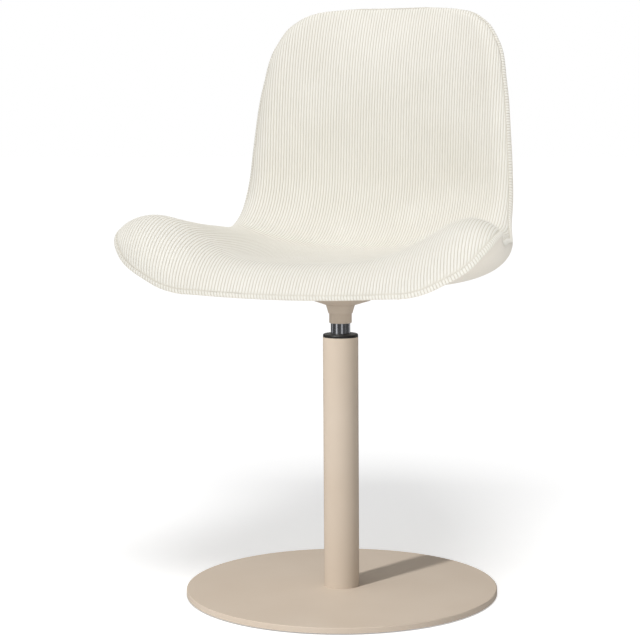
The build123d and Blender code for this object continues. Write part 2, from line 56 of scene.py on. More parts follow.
# distance, half width to the face seam, rise of the wing, drop from wing to seam, width of the
# roll, thickness, fullness of the outer side (lower is fuller)
SECTIONS = [
    (0, 172, 4.0, -0.5, 30, 9, 1.0),
    (25, 222, 15.8, 4.2, 38, 18.5, 1.0),
    (55, 251.5, 26, 7.8, 45, 27, 1.0),
    (95, 263.5, 29.8, 12.5, 50, 38, 0.91),
    (150, 253.5, 26, 15.3, 55, 50.8, 0.78),
    (222, 243, 23.3, 16.3, 52, 59.8, 0.65),
    (294, 234, 21.6, 10.4, 46, 62, 0.55),
    (330, 229.5, 20.2, 9.8, 41, 61.5, 0.52),
    (365, 224, 19.8, 9.6, 36, 60.8, 0.5),
    (400, 216.5, 22, 9.2, 32, 60, 0.51),
    (430, 210.5, 26, 8.4, 28, 59, 0.53),
    (492, 205.5, 29, 6.3, 25, 54, 0.54),
    (572, 199.5, 25.8, 6, 25, 45, 0.52),
    (667, 188.7, 20, 8, 25, 37, 0.57),
    (730, 173.3, 17.3, 8.6, 25, 29, 0.63),
    (762, 151.2, 16, 5, 25, 21, 0.67),
    (783, 122.5, 10.6, 2.7, 24, 15, 0.69),
    (795, 92, 0.9, 0.6, 22, 9, 0.7),
]
WIDTH, RISE, DROP, ROLL_WIDTH, THICKNESS, FULLNESS = range(1, 7)   # its columns
# distance, how far the middle of the face is hollowed, and how far the outer side bellies out
MIDDLE = [
    (0, 0, 0), (25, 4.5, 1), (55, 16, 6), (95, 29, 12), (130, 32, 11), (150, 30.5, 8), (222, 21.5, 2),
    (294, 14.5, 0), (330, 11.5, 0), (365, 9.5, 0), (400, 7, 0), (430, 4, 0), (492, 0, 0), (795, 0, 0),
]
HOLLOW, BELLY = 1, 2      # its columns

LENGTH = 795.0            # of the profile, from the front seam to the top seam
FRONT_CORNER = (9.6, 23.0)   # distance and width over which the outline turns into an end
TOP_CORNER = (14.0, 26.0)
FRONT_BOW, TOP_BOW = 4.6, 1.4   # how far the middle of an end stands out past its corners
BOW_REACH = 40.0          # distance from an end over which the bow dies out
FLARE = 4.3               # how far the outer seam stands out past the face seam
FALL = 7.3                # and how far below it lies
END_BLEND = 30.0          # distance over which the outer side turns up to an end's seam
HIDDEN_INSET = 3.0        # from the face seam to the edge of a cushion's hidden side
CORE_INSET = 7.0          # and to the edge of the plywood

# Hidden sides of the cushions, and the plywood's two sides: share of the thickness at which the
# middle lies, and how far above the face seam the edge lies
FACE_HIDDEN = (0.3, -3.2)
REAR_HIDDEN = (0.54, -5.0)
CORE_UPPER = (0.32, -3.5)
CORE_LOWER = (0.52, -4.7)

WALE = 4.265              # pitch of the corduroy
WALE_HEIGHT = 0.75        # of a cord above its grooves
WALE_MEAN = 0.6           # share of a cord's height that lies below the smooth surface
WALE_POWER = 3.0          # higher makes the cords flatter and the grooves narrower
WALE_SAMPLES = 8          # points across one cord
SEAM_DEPTH = 0.8          # how deep a seam draws the cloth in
SEAM_REACH = 1.3          # and over what distance
SEAM_FADE = 1.6           # distance from a seam over which the cords rise
SEAM_GAP = 0.02           # least distance from the seam to the next point of the face
# SEAM_TONE: the seams' level between the painted shade of the grooves and the cords' pale colour
SEAM_TONE = 0.4           # the seams' share of the cords' pale colour
STRIP_BULGE = 1.2         # how far the middle of the strip stands out
STRIP_SINK = 0.4          # how far its edges are drawn in
STRIP_CORDS = 3.0         # how steeply its cords rise from the two seams
STRIP_BACK = 2.2          # how far behind the seams the strip's hidden side lies

# How finely the pieces are divided
OUTLINE_ENDS = (0, 16, 61)          # from, to and how many points, for the outline near an end
OUTLINE_MIDDLE = (16.5, 400)        # distance from each end, and how many points between
END_ROWS = (0, 0.12, 0.5, 1.1, 2.0, 3.2, 4.7, 6.6, 9.0, 12.0, 15.5)   # distances from each end
MIDDLE_ROWS = (19.0, 176)           # distance from each end, and how many rows between
NORMAL_COLUMNS = 161      # across the face, where its normals are taken
REAR_COLUMNS = 141
HIDDEN_COLUMNS = 25
CORE_ROWS, CORE_COLUMNS = 130, 41
END_POINTS = 90           # along the front edge and along the top edge
STRIP_ROWS = 9
STRIP_BACK_ROWS = (0.85, 0.5, 0.15)   # shares of the way from the face seam to the outer seam

MILLIMETRE = 0.001
CLOTH_SHARP = math.radians(62)
METAL_SHARP = math.radians(28)


# ---- form of the shell -------------------------------------------------------------------
def smooth(column, distance, table=SECTIONS):
    """One column of a table at any distance: a cubic with slopes taken from the neighbours."""
    stops = np.array(table, float)
    distance = np.clip(distance, 0, LENGTH)
    x, y = stops[:, 0], stops[:, column]
    slope = np.gradient(y, x)
    i = np.clip(np.searchsorted(x, distance) - 1, 0, len(x) - 2)
    step = x[i + 1] - x[i]
    t = (distance - x[i]) / step
    near = (1 + 2 * t) * (1 - t) ** 2 * y[i] + t * (1 - t) ** 2 * step * slope[i]
    return near + t * t * (3 - 2 * t) * y[i + 1] - t * t * (1 - t) * step * slope[i + 1]


def half_width(distance):
    """Half width to the face seam, its corners rounded into the ends."""
    width = smooth(WIDTH, distance)
    for to_end, (length, cut) in ((distance, FRONT_CORNER), (LENGTH - distance, TOP_CORNER)):
        reach = np.clip(1 - to_end / length, 0, 1)
        width = width - cut * (1 - np.sqrt(1 - reach**2))
    return width


def outer_outline():
    """Distances along the face seam, and the outer seam's distance and half width beside each."""
    near_end = np.linspace(*OUTLINE_ENDS)
    first, count = OUTLINE_MIDDLE
    between = np.linspace(first, LENGTH - first, count)
    distance = np.concatenate([near_end, between, LENGTH - near_end[::-1]])
    width = half_width(distance)
    slope = np.gradient(width, distance)
    out = 1 / np.hypot(1, slope)
    along = -slope / np.hypot(1, slope)
    out[[0, -1]] = 0
    along[[0, -1]] = -1, 1
    return distance, np.maximum.accumulate(distance + FLARE * along), width + FLARE * out


SEAM_DISTANCE, OUTER_DISTANCE, OUTER_WIDTH = outer_outline()


def outer_half_width(distance):
    """Half width to the outer seam, which runs round FLARE outside the face seam."""
    return np.interp(distance, OUTER_DISTANCE, OUTER_WIDTH)


def profile(distance):
    """Y, Z and heading of the side profile: arcs that each turn steadily."""
    distance = np.asarray(distance, float)
    stops = np.array(PROFILE, float)
    start, turn = stops[:, 0], np.radians(stops[:, 1])
    heading = np.interp(distance, start, turn)
    y = np.full_like(distance, PROFILE_START[0])
    z = np.full_like(distance, PROFILE_START[1])
    for s_0, s_1, h_0, h_1 in zip(start, start[1:], turn, turn[1:]):
        run = np.clip(distance - s_0, 0, s_1 - s_0)
        bend = (h_1 - h_0) / (s_1 - s_0)
        if abs(bend) < 1e-9:
            y += run * math.cos(h_0)
            z += run * math.sin(h_0)
        else:
            y += (np.sin(h_0 + bend * run) - math.sin(h_0)) / bend
            z += (math.cos(h_0) - np.cos(h_0 + bend * run)) / bend
    for past, end in ((np.minimum(distance, 0), turn[0]), (np.maximum(distance - LENGTH, 0), turn[-1])):
        y += past * math.cos(end)
        z += past * math.sin(end)
    return y, z, heading


def end_bow(bow, end_width, to_end, across):
    """How far the bow of an end draws a point out along the profile, most in its middle."""
    near = np.clip(1 - to_end / BOW_REACH, 0, 1)
    return bow * (1 - (across / end_width) ** 2) * near**2 * (3 - 2 * near)


def place(distance, across, height):
    """Point at a distance along the profile, so far across the chair and out of the face."""
    front = end_bow(FRONT_BOW, SECTIONS[0][WIDTH], distance, across)
    top = end_bow(TOP_BOW, SECTIONS[-1][WIDTH], LENGTH - distance, across)
    y, z, heading = profile(distance + top - front)
    return np.stack(
        [across + 0 * y, y - height * np.sin(heading), z + height * np.cos(heading)], axis=-1
    )


def arc_pair(crest_x, crest_y, end_x, end_y):
    """Angles and radii of an arc from the middle to the crest and of the one on to the end."""
    first_angle = 2 * np.arctan(crest_y / crest_x)
    first_radius = crest_x / np.sin(first_angle)
    run, climb = end_x - crest_x, end_y - crest_y
    chord = np.arctan2(climb, run)
    turn = 2 * (chord - first_angle)
    second_radius = np.hypot(run, climb) / (2 * np.sin(turn / 2))
    return first_angle, first_radius, turn, second_radius


def along_arcs(arcs, length):
    """Point on a pair of arcs at a length from the middle."""
    first_angle, first_radius, turn, second_radius = arcs
    first_length = first_angle * first_radius
    a = np.minimum(length / first_radius, first_angle)
    b = np.clip((length - first_length) / second_radius, np.minimum(turn, 0), np.maximum(turn, 0))
    x = first_radius * np.sin(a) + second_radius * (np.sin(first_angle + b) - np.sin(first_angle))
    y = first_radius * (1 - np.cos(a)) + second_radius * (np.cos(first_angle) - np.cos(first_angle + b))
    return x, y


def face_arcs(distance):
    """The face's arcs at a distance, its crest, the rise there, and the length to the seam."""
    width = half_width(distance)
    rise, drop, roll = (smooth(column, distance) for column in (RISE, DROP, ROLL_WIDTH))
    crest = width - roll
    arcs = arc_pair(crest, rise, width, rise - drop)
    return arcs, crest, rise, arcs[0] * arcs[1] + arcs[2] * arcs[3]


def middle_depth(column, distance, share):
    """Hollow of the face or belly of the outer side, at a share of the way across."""
    return smooth(column, distance, MIDDLE) * (1 - np.clip(share, 0, 1) ** 4) ** 2


def face_point(distance, across):
    """Point of the sitting face at a distance and at an arc length from the middle."""
    arcs, crest, _, reach = face_arcs(distance)
    x, height = along_arcs(arcs, np.minimum(np.abs(across), reach))
    return place(distance, np.sign(across) * x, height - middle_depth(HOLLOW, distance, x / crest))


def face_height(distance, across):
    """Height of the sitting face at a place across the chair."""
    (angle, radius, _, second), crest, rise, _ = face_arcs(distance)
    x = np.minimum(np.abs(across), half_width(np.clip(distance, 0, LENGTH)))
    inner = radius - np.sqrt(radius**2 - np.minimum(x, crest) ** 2)
    slant = np.arcsin(np.clip(np.sin(angle) + (x - crest) / second, -1, 1))
    height = np.where(x <= crest, inner, rise + second * (np.cos(angle) - np.cos(slant)))
    return height - middle_depth(HOLLOW, distance, x / crest)


def under_point(distance, share):
    """Point of the outer side at a distance and at a share of the way across to its seam."""
    across = share * outer_half_width(distance)
    seam = smooth(RISE, distance) - smooth(DROP, distance) - FALL
    bowl = np.clip(1 - share**4, 0, 1) ** smooth(FULLNESS, distance)
    height = seam - (smooth(THICKNESS, distance) + seam) * bowl
    height = height - middle_depth(BELLY, distance, np.abs(share))
    to_end = np.minimum(distance, LENGTH - distance) + FLARE
    end = np.clip(1 - to_end / END_BLEND, 0, 1) ** 2
    height = height + (face_height(distance, across) - FALL - height) * end
    return place(distance, across, height)


def rows():
    """Distances of the grid's rows, closer together at the rounded ends."""
    end = np.array(END_ROWS)
    first, count = MIDDLE_ROWS
    middle = np.linspace(first, LENGTH - first, count)
    return np.concatenate([end, middle, LENGTH - end[::-1]])


def hidden_grid(distances, depth_share, edge_lift, columns=HIDDEN_COLUMNS, margin=HIDDEN_INSET):
    """Hidden side of a cushion or a side of the plywood, a little in from the seam all round."""
    inset = np.clip(distances, HIDDEN_INSET, LENGTH - HIDDEN_INSET)
    share = np.linspace(-1, 1, columns)[None, :]
    width = (half_width(inset) - margin)[:, None]
    edge = (smooth(RISE, inset) - smooth(DROP, inset) + edge_lift)[:, None]
    hollow, belly = (smooth(column, inset, MIDDLE) for column in (HOLLOW, BELLY))
    middle = -(hollow + depth_share * (smooth(THICKNESS, inset) + belly - hollow))[:, None]
    height = middle + (edge - middle) * share**2
    return place(inset[:, None], width * share, height)


# ---- relief ------------------------------------------------------------------------------
def wale_profile(run):
    """Height of a cord, from 0 in the groove to 1 on the ridge."""
    phase = (run / WALE) % 1.0
    return 1 - np.abs(2 * phase - 1) ** WALE_POWER


def seam_dent(to_seam):
    """How deep a seam draws the cloth in."""
    return SEAM_DEPTH * np.exp(-((to_seam / SEAM_REACH) ** 2))


def unit(vectors):
    """Vectors of the same directions with a length of 1."""
    return vectors / np.maximum(np.linalg.norm(vectors, axis=-1, keepdims=True), 1e-9)


def grid_normals(points):
    """Unit normals of a grid of points, pointing out of the sitting face."""
    return unit(np.cross(np.gradient(points, axis=1), np.gradient(points, axis=0)))


# ---- meshes ------------------------------------------------------------------------------
def add_mesh(name, points, faces, body):
    """Smooth-shaded object from points in millimetres, riding on a body."""
    mesh = bpy.data.meshes.new(name)
    mesh.from_pydata((np.asarray(points) * MILLIMETRE).tolist(), [], faces)
    mesh.validate()
    mesh.polygons.foreach_set("use_smooth", np.ones(len(mesh.polygons), bool))
    mesh.set_sharp_from_angle(angle=CLOTH_SHARP)
    obj = bpy.data.objects.new(name, mesh)
    bpy.context.scene.collection.objects.link(obj)
    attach(obj, body)
    return obj


def add_attribute(obj, name, values):
    """One number for each vertex, for the materials to read."""
    attribute = obj.data.attributes.new(name, "FLOAT", "POINT")
    attribute.data.foreach_set("value", np.asarray(values, np.float32))


def grid_faces(index, flipped=False):
    """Four-cornered faces between neighbours in a grid of point numbers."""
    beside, below = index[:-1, 1:], index[1:, :-1]
    if flipped:
        beside, below = below, beside
    corners = np.stack([index[:-1, :-1], beside, index[1:, 1:], below], axis=-1)
    return corners.reshape(-1, 4).tolist()


def close_shell(points, index, hidden):
    """Joins a grid of points to a hidden grid: all the points, and the faces that close the form."""
    count, columns = hidden.shape[:2]
    back = len(points) + np.arange(count * columns).reshape(count, columns)
    faces = []
    for i in range(count - 1):
        for j in range(columns - 1):
            faces.append([back[i, j], back[i + 1, j], back[i + 1, j + 1], back[i, j + 1]])
        faces.append([index[i, 0], index[i + 1, 0], back[i + 1, 0], back[i, 0]])
        faces.append([index[i + 1, -1], index[i, -1], back[i, -1], back[i + 1, -1]])
    faces.append([*np.unique(index[0]), *back[0][::-1]])
    faces.append([*np.unique(index[-1])[::-1], *back[-1]])
    return np.concatenate([points, hidden.reshape(-1, 3)]), faces


def face_normals(distances, reach, across):
    """Normals of the smooth face at the points of the fine grid, taken from fewer columns."""
    shares = np.linspace(-1, 1, NORMAL_COLUMNS)
    coarse = grid_normals(face_point(distances[:, None], shares[None, :] * reach[:, None]))
    normals = np.empty((*across.shape, 3))
    for i in range(len(distances)):
        for axis in range(3):
            normals[i, :, axis] = np.interp(across[i] / reach[i], shares, coarse[i, :, axis])
    return unit(normals)


def face_relief(distances, reach, across):
    """How far cords and seam lift each point of the face, and the painted shade of the cords there,
    darkest in the grooves.
    """
    slant = np.hypot(1, np.gradient(reach, distances))[:, None]
    to_seam = np.minimum((reach[:, None] - np.abs(across)) / slant, distances[:, None])
    to_seam = np.minimum(to_seam, LENGTH - distances[:, None])
    rib = wale_profile(across)
    fade = 1 - np.exp(-((to_seam / SEAM_FADE) ** 2))
    lift = WALE_HEIGHT * (rib - WALE_MEAN) * fade - seam_dent(to_seam)
    return lift, SEAM_TONE + (rib - SEAM_TONE) * fade


def trim_to_seam(grid, tone, columns, reach):
    """The grid's points and tones up to the seam, and a point's number for each of its places."""
    index = np.empty(tone.shape, int)
    points, tones, total = [], [], 0
    for i in range(len(grid)):
        inside = np.where(np.abs(columns) < reach[i] - SEAM_GAP)[0]
        first, last = inside[0] - 1, inside[-1] + 1
        index[i] = total + np.clip(np.arange(len(columns)) - first, 0, last - first)
        points.append(grid[i, first:last + 1])
        tones.append(tone[i, first:last + 1])
        total += last + 1 - first
    return np.concatenate(points), np.concatenate(tones), index


def make_face_cushion():
    """Sitting side: one ribbed cover with cords running from the front seam to the top seam."""
    distances = rows()
    reach = face_arcs(distances)[3]
    step = WALE / WALE_SAMPLES
    half = int(reach.max() / step) + 1
    columns = np.arange(-half, half + 1) * step
    across = np.clip(columns[None, :], -reach[:, None], reach[:, None])
    lift, tone = face_relief(distances, reach, across)
    grid = face_point(distances[:, None], across)
    grid = grid + face_normals(distances, reach, across) * lift[..., None]

    points, tone, index = trim_to_seam(grid, tone, columns, reach)
    rings = [list(dict.fromkeys(corners)) for corners in grid_faces(index)]
    faces = [ring for ring in rings if len(ring) > 2]
    points, closing = close_shell(points, index, hidden_grid(distances, *FACE_HIDDEN))
    cushion = add_mesh("face_cushion", points, faces + closing, "seat")
    # rib: the cords' painted shade for the material, darkest in the grooves; the hidden side takes the
    # darkest shade
    add_attribute(cushion, "rib", np.concatenate([tone, np.zeros(len(points) - len(tone))]))
    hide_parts("face_cover", "face_foam")
    return cushion


def rear_to_seam(distances, grid):
    """Distance from each point of the outer side to the nearest part of its seam."""
    slant = np.hypot(1, np.gradient(outer_half_width(distances), distances))[:, None]
    steps = np.linalg.norm(np.diff(grid, axis=1), axis=2)
    from_left = np.concatenate([0 * steps[:, :1], np.cumsum(steps, axis=1)], axis=1)
    to_side = np.minimum(from_left, from_left[:, -1:] - from_left) / slant
    return np.minimum(to_side, np.minimum(distances, LENGTH - distances)[:, None] + FLARE)


def make_rear_cushion():
    """Outer side: a smooth cover from seam to seam."""
    distances = rows() * (LENGTH + 2 * FLARE) / LENGTH - FLARE
    shares = np.sin(np.linspace(-np.pi / 2, np.pi / 2, REAR_COLUMNS))
    grid = under_point(distances[:, None], shares[None, :])
    grid = grid + grid_normals(grid) * seam_dent(rear_to_seam(distances, grid))[..., None]
    index = np.arange(grid.shape[0] * grid.shape[1]).reshape(grid.shape[:2])
    points, closing = close_shell(grid.reshape(-1, 3), index, hidden_grid(distances, *REAR_HIDDEN))
    faces = grid_faces(index, flipped=True) + [face[::-1] for face in closing]
    cushion = add_mesh("rear_cushion", points, faces, "seat")
    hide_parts("rear_cover", "rear_foam")
    return cushion


def make_core():
    """Moulded plywood between the two cushions, thinned towards its edge."""
    distances = np.linspace(CORE_INSET, LENGTH - CORE_INSET, CORE_ROWS)
    upper = hidden_grid(distances, *CORE_UPPER, CORE_COLUMNS, CORE_INSET)
    lower = hidden_grid(distances, *CORE_LOWER, CORE_COLUMNS, CORE_INSET)
    index = np.arange(CORE_ROWS * CORE_COLUMNS).reshape(CORE_ROWS, CORE_COLUMNS)
    points, closing = close_shell(upper.reshape(-1, 3), index, lower)
    core = add_mesh("shell_core_sheet", points, grid_faces(index) + closing, "seat")
    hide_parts("shell_core")
    return core


def edge_paths():
    """Face seam and outer seam round the whole shell, as matching closed loops of points."""
    distances = rows()
    edge = smooth(RISE, distances) - smooth(DROP, distances)
    width = half_width(distances)
    outer = np.interp(distances, SEAM_DISTANCE, OUTER_DISTANCE)
    right_upper = place(distances, width, edge)
    right_lower = under_point(outer, np.ones_like(outer))
    left_upper = place(distances, -width, edge)
    left_lower = under_point(outer, -np.ones_like(outer))
    ends = []
    for distance, outer_distance, order in ((LENGTH, LENGTH + FLARE, 1), (0.0, -FLARE, -1)):
        share = np.linspace(order, -order, END_POINTS)[1:-1]
        here = np.full_like(share, distance)
        upper = face_point(here, share * face_arcs(here)[3])
        there = np.full_like(share, outer_distance)
        ends.append((upper, under_point(there, upper[:, 0] / outer_half_width(there))))
    (top_upper, top_lower), (front_upper, front_lower) = ends
    upper = np.concatenate([right_upper, top_upper, left_upper[::-1], front_upper])
    lower = np.concatenate([right_lower, top_lower, left_lower[::-1], front_lower])
    return upper, lower


def resample(loop, run, at):
    """Closed loop of points whose lengths along it are run, cut anew at other lengths."""
    return np.stack([np.interp(at, run, np.append(axis, axis[0])) for axis in loop.T], axis=-1)


def strip_outward(upper, lower):
    """Directions out of the strip between the two seams."""
    tangent = unit(np.roll(upper, -3, axis=0) - np.roll(upper, 3, axis=0))
    outward = unit(np.cross(upper - lower, tangent))
    on_a_side = len(upper) // 8
    if outward[on_a_side, 0] * upper[on_a_side, 0] < 0:
        outward = -outward
    return outward


def make_gusset():
    """Strip between the two seams all round, its cords running across it."""
    upper, lower = edge_paths()
    closed = np.concatenate([upper, upper[:1]])
    run = np.concatenate([[0], np.cumsum(np.linalg.norm(np.diff(closed, axis=0), axis=1))])
    total = run[-1]
    wales = round(total / WALE)
    steps = wales * WALE_SAMPLES
    at = np.arange(steps) * total / steps
    upper = resample(upper, run, at)
    lower = resample(lower, run, at)
    outward = strip_outward(upper, lower)
    rib = wale_profile(at * wales * WALE / total)

    # tones carry the strip's painted shade, darkest in the grooves; its hidden rows take the darkest shade
    rings, tones = [], []
    for share in np.linspace(0, 1, STRIP_ROWS):
        arch = 1 - (2 * share - 1) ** 2
        shown = min(1, STRIP_CORDS * arch)
        lift = STRIP_BULGE * arch - STRIP_SINK * (1 - arch) + WALE_HEIGHT * (rib - WALE_MEAN) * shown
        rings.append(upper + (lower - upper) * share + outward * lift[:, None])
        tones.append(SEAM_TONE + (rib - SEAM_TONE) * shown)
    for share in STRIP_BACK_ROWS:
        rings.append(upper + (lower - upper) * share - outward * STRIP_BACK)
        tones.append(0 * rib)

    index = np.arange(len(rings) * steps).reshape(len(rings), steps)
    down = np.roll(index, -1, axis=0)
    beside = np.roll(index, -1, axis=1)
    corner = np.roll(down, -1, axis=1)
    faces = np.stack([index, beside, corner, down], axis=-1).reshape(-1, 4).tolist()
    gusset = add_mesh("edge_gusset_strip", np.concatenate(rings), faces, "seat")
    add_attribute(gusset, "rib", np.concatenate(tones))
    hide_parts("edge_gusset")
    return gusset


# ---- shader nodes ------------------------------------------------------------------------
WHITE = (1.0, 1.0, 1.0)


def grey(level):
    """Grey of a level from 0 to 1."""
    return (level, level, level)


def srgb(red, green, blue):
    """Colour from its 0 to 255 values on screen."""
    values = []
    for value in (red, green, blue):
        value /= 255
        values.append(value / 12.92 if value <= 0.04045 else ((value + 0.055) / 1.055) ** 2.4)
    return tuple(values)


def new_material(name):
    """Material with its node tree and its shader."""
    material = bpy.data.materials.new(name)
    material.use_nodes = True
    return material, material.node_tree, material.node_tree.nodes["Principled BSDF"]


def set_inputs(node, **values):
    """Fixed values of a node's inputs, with _ for the spaces in their names."""
    for name, value in values.items():
        node.inputs[name.replace("_", " ")].default_value = value


def add_noise(tree, scale, detail, stretch=(1, 1, 1)):
    """Noise over the object's own coordinates, stretched along its axes."""
    coordinates = tree.nodes.new("ShaderNodeTexCoord")
    mapping = tree.nodes.new("ShaderNodeMapping")
    noise = tree.nodes.new("ShaderNodeTexNoise")
    set_inputs(mapping, Scale=stretch)
    set_inputs(noise, Scale=scale, Detail=detail)
    tree.links.new(coordinates.outputs["Object"], mapping.inputs["Vector"])
    tree.links.new(mapping.outputs["Vector"], noise.inputs["Vector"])
    return noise.outputs["Fac"]


def add_ramp(tree, source, stops):
    """Colours spread over a number from 0 to 1."""
    ramp = tree.nodes.new("ShaderNodeValToRGB")
    while len(ramp.color_ramp.elements) < len(stops):
        ramp.color_ramp.elements.new(0.5)
    for element, (position, colour) in zip(ramp.color_ramp.elements, stops):
        element.position = position
        element.color = (*colour, 1)
    tree.links.new(source, ramp.inputs["Fac"])
    return ramp.outputs["Color"]


def add_tones(tree, source, first, second, low=0.3, high=0.7):
    """Two colours, with a change from one to the other where the source is from low to high."""
    return add_ramp(tree, source, [(low, first), (high, second)])


def add_mix(tree, first, second, factor, blend="MIX"):
    """Two colours mixed by a number or by a socket."""
    mix = tree.nodes.new("ShaderNodeMix")
    mix.data_type = "RGBA"
    mix.blend_type = blend
    for socket, value in ((mix.inputs[6], first), (mix.inputs[7], second)):
        if isinstance(value, tuple):
            socket.default_value = (*value, 1)
        else:
            tree.links.new(value, socket)
    if isinstance(factor, float):
        mix.inputs[0].default_value = factor
    else:
        tree.links.new(factor, mix.inputs[0])
    return mix.outputs[2]


def add_math(tree, operation, first, second):
    """One sum on sockets or numbers."""
    node = tree.nodes.new("ShaderNodeMath")
    node.operation = operation
    for socket, value in zip(node.inputs, (first, second)):
        if isinstance(value, float):
            socket.default_value = value
        else:
            tree.links.new(value, socket)
    return node.outputs[0]


def add_bump(tree, shader, source, distance, strength):
    """Fine relief on a shader."""
    bump = tree.nodes.new("ShaderNodeBump")
    set_inputs(bump, Distance=distance, Strength=strength)
    tree.links.new(source, bump.inputs["Height"])
    tree.links.new(bump.outputs["Normal"], shader.inputs["Normal"])


# ---- materials ---------------------------------------------------------------------------
def ribbed_fabric():
    """Cream corduroy: pale pile on the cords, with painted shade that darkens the grooves."""
    material, tree, shader = new_material("ribbed_fabric")
    rib = tree.nodes.new("ShaderNodeAttribute")
    rib.attribute_name = "rib"
    # Painted shade: the colour follows the cords' height, darkest in the grooves and palest on the ridges.
    shaded_groove, flank, ridge = srgb(199, 194, 181), srgb(230, 226, 216), srgb(241, 239, 232)
    cord_shade = add_ramp(tree, rib.outputs["Fac"], [(0.0, shaded_groove), (0.5, flank), (1.0, ridge)])
    tone = add_tones(tree, add_noise(tree, 14.0, 4.0), (0.95, 0.945, 0.93), WHITE)
    colour = add_mix(tree, cord_shade, tone, 0.7, "MULTIPLY")
    pile = add_noise(tree, 1500.0, 5.0)
    speck = add_tones(tree, pile, (0.93, 0.925, 0.91), WHITE, high=0.65)
    colour = add_mix(tree, colour, speck, 0.6, "MULTIPLY")
    tree.links.new(colour, shader.inputs["Base Color"])
    set_inputs(shader, Roughness=0.95, Specular_IOR_Level=0.2, Sheen_Weight=0.25, Sheen_Roughness=0.5)
    set_inputs(shader, Sheen_Tint=(*srgb(250, 245, 232), 1))
    add_bump(tree, shader, pile, 0.0004, 0.5)
    return material


def plain_fabric():
    """Close woven cloth of the outer side."""
    material, tree, shader = new_material("plain_fabric")
    cloth = add_tones(tree, add_noise(tree, 12.0, 4.0), srgb(236, 230, 218), srgb(242, 237, 226))
    weave = add_noise(tree, 1100.0, 4.0)
    thread = add_tones(tree, weave, (0.9, 0.895, 0.88), WHITE, high=0.65)
    colour = add_mix(tree, cloth, thread, 0.6, "MULTIPLY")
    tree.links.new(colour, shader.inputs["Base Color"])
    set_inputs(shader, Roughness=0.92, Specular_IOR_Level=0.2, Sheen_Weight=0.2, Sheen_Roughness=0.5)
    add_bump(tree, shader, weave, 0.0004, 0.5)
    return material


def powder_coat():
    """Fine matt powder coat in warm beige."""
    material, tree, shader = new_material("powder_coat")
    patches = add_noise(tree, 9.0, 3.0)
    coat = add_tones(tree, patches, srgb(199, 184, 167), srgb(203, 189, 173))
    grain = add_noise(tree, 2400.0, 3.0)
    colour = add_mix(tree, coat, add_tones(tree, grain, grey(0.95), WHITE), 0.6, "MULTIPLY")
    tree.links.new(colour, shader.inputs["Base Color"])
    gloss = add_tones(tree, patches, grey(0.5), grey(0.58), 0.2, 0.8)
    tree.links.new(gloss, shader.inputs["Roughness"])
    set_inputs(shader, Specular_IOR_Level=0.3)
    add_bump(tree, shader, grain, 0.00008, 0.35)
    return material


def bare_steel(name, grain, colours, roughness):
    """Bare metal in two near tones, with two levels of gloss that follow the same marks."""
    material, tree, shader = new_material(name)
    marks = add_noise(tree, *grain)
    tree.links.new(add_tones(tree, marks, *colours), shader.inputs["Base Color"])
    set_inputs(shader, Metallic=1.0)
    gloss = add_tones(tree, marks, grey(roughness[0]), grey(roughness[1]), 0.2, 0.8)
    tree.links.new(gloss, shader.inputs["Roughness"])
    return material


def polished_steel():
    """Ground and polished spindle, its marks in fine rings."""
    colours = srgb(176, 177, 182), srgb(198, 199, 204)
    return bare_steel("polished_steel", (60.0, 3.0, (1, 1, 40)), colours, (0.1, 0.2))


def plain_steel():
    """Zinc-plated fasteners and turned steel inside the column."""
    colours = srgb(158, 158, 156), srgb(182, 182, 180)
    return bare_steel("plain_steel", (120.0, 4.0), colours, (0.3, 0.45))


def grained_material(name, grain, colours, roughness, depth, strength):
    """Plastic, rubber, plywood or foam in two near tones with a faint relief."""
    material, tree, shader = new_material(name)
    marks = add_noise(tree, *grain)
    tree.links.new(add_tones(tree, marks, *colours), shader.inputs["Base Color"])
    set_inputs(shader, Roughness=roughness)
    add_bump(tree, shader, marks, depth, strength)
    return material


def black_plastic():
    """Black moulded plastic of the bushes."""
    colours = srgb(22, 22, 23), srgb(32, 32, 33)
    return grained_material("black_plastic", (900.0, 3.0), colours, 0.42, 0.0001, 0.3)


def sheet_rubber():
    """Dark matt rubber under the disc."""
    colours = srgb(38, 38, 38), srgb(52, 52, 51)
    return grained_material("sheet_rubber", (700.0, 3.0), colours, 0.85, 0.0001, 0.3)


def plywood():
    """Hidden moulded plywood."""
    colours = srgb(188, 152, 106), srgb(214, 182, 136)
    return grained_material("plywood", (40.0, 5.0, (6, 1, 1)), colours, 0.6, 0.0003, 0.4)


def foam():
    """Hidden foam."""
    colours = srgb(222, 213, 178), srgb(236, 229, 200)
    return grained_material("foam", (500.0, 5.0), colours, 0.95, 0.0003, 0.4)


def paint(objects, material):
    """Puts one material on each of the objects."""
    for obj in objects:
        obj.data.materials.clear()
        obj.data.materials.append(material)


by_slot = {
    "ribbed_fabric": ribbed_fabric(),
    "plain_fabric": plain_fabric(),
    "coated_steel": powder_coat(),
    "bright_steel": polished_steel(),
    "plain_steel": plain_steel(),
    "black_plastic": black_plastic(),
    "sheet_rubber": sheet_rubber(),
    "plywood": plywood(),
    "foam": foam(),
}
stand = [
    nodes[name]
    for name in ("base_plate", "column_tube", "upper_bush", "spindle", "hub_socket", "hub_dish")
]
for subpart in frame["record"]["subparts"]:
    paint([nodes[subpart["node"]]], by_slot[subpart["material_slot"]])
for piece in stand:
    piece.data.set_sharp_from_angle(angle=METAL_SHARP)

ribbed_covers = [make_face_cushion(), make_gusset()]
plain_covers = [make_rear_cushion()]
paint(ribbed_covers, by_slot["ribbed_fabric"])
paint(plain_covers, by_slot["plain_fabric"])
paint([make_core()], by_slot["plywood"])

